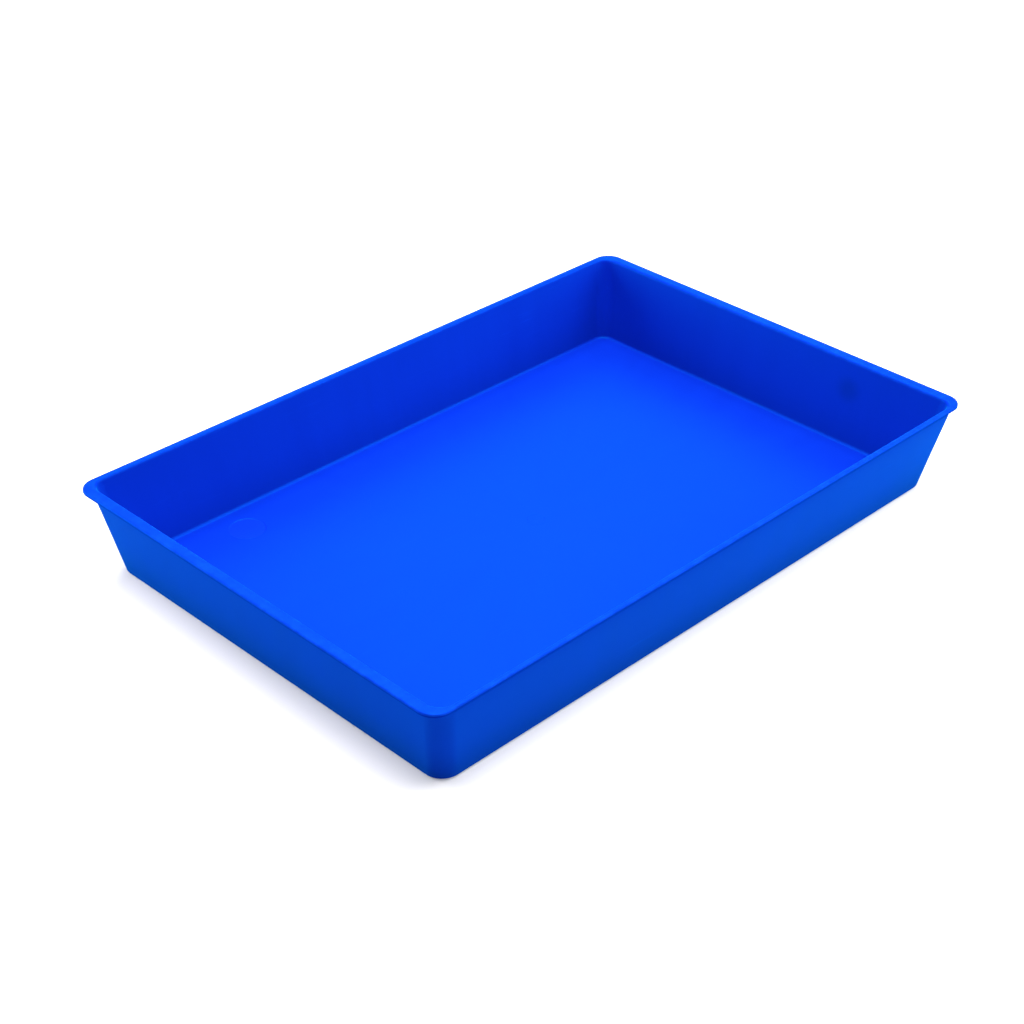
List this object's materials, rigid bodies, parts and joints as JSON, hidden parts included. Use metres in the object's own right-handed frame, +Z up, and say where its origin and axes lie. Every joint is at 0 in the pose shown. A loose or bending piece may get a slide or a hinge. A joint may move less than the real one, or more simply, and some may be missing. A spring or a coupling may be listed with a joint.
{
  "type": "mud pan",
  "caption": "Shallow rectangular moulded plastic tray with leaning walls, round corners and a flat rim that overhangs the walls.",
  "frame": {"origin": "middle of the underside, on the plane that the tray rests on", "axes": "+X along the length, +Y across the width, +Z up out of the open mouth"},
  "size_m": [0.4, 0.267, 0.051],
  "materials": {
    "blue_polypropylene": "moulded, satin"
  },
  "bodies": {
    "root": {"tray": "blue_polypropylene"}
  },
  "joints": []
}
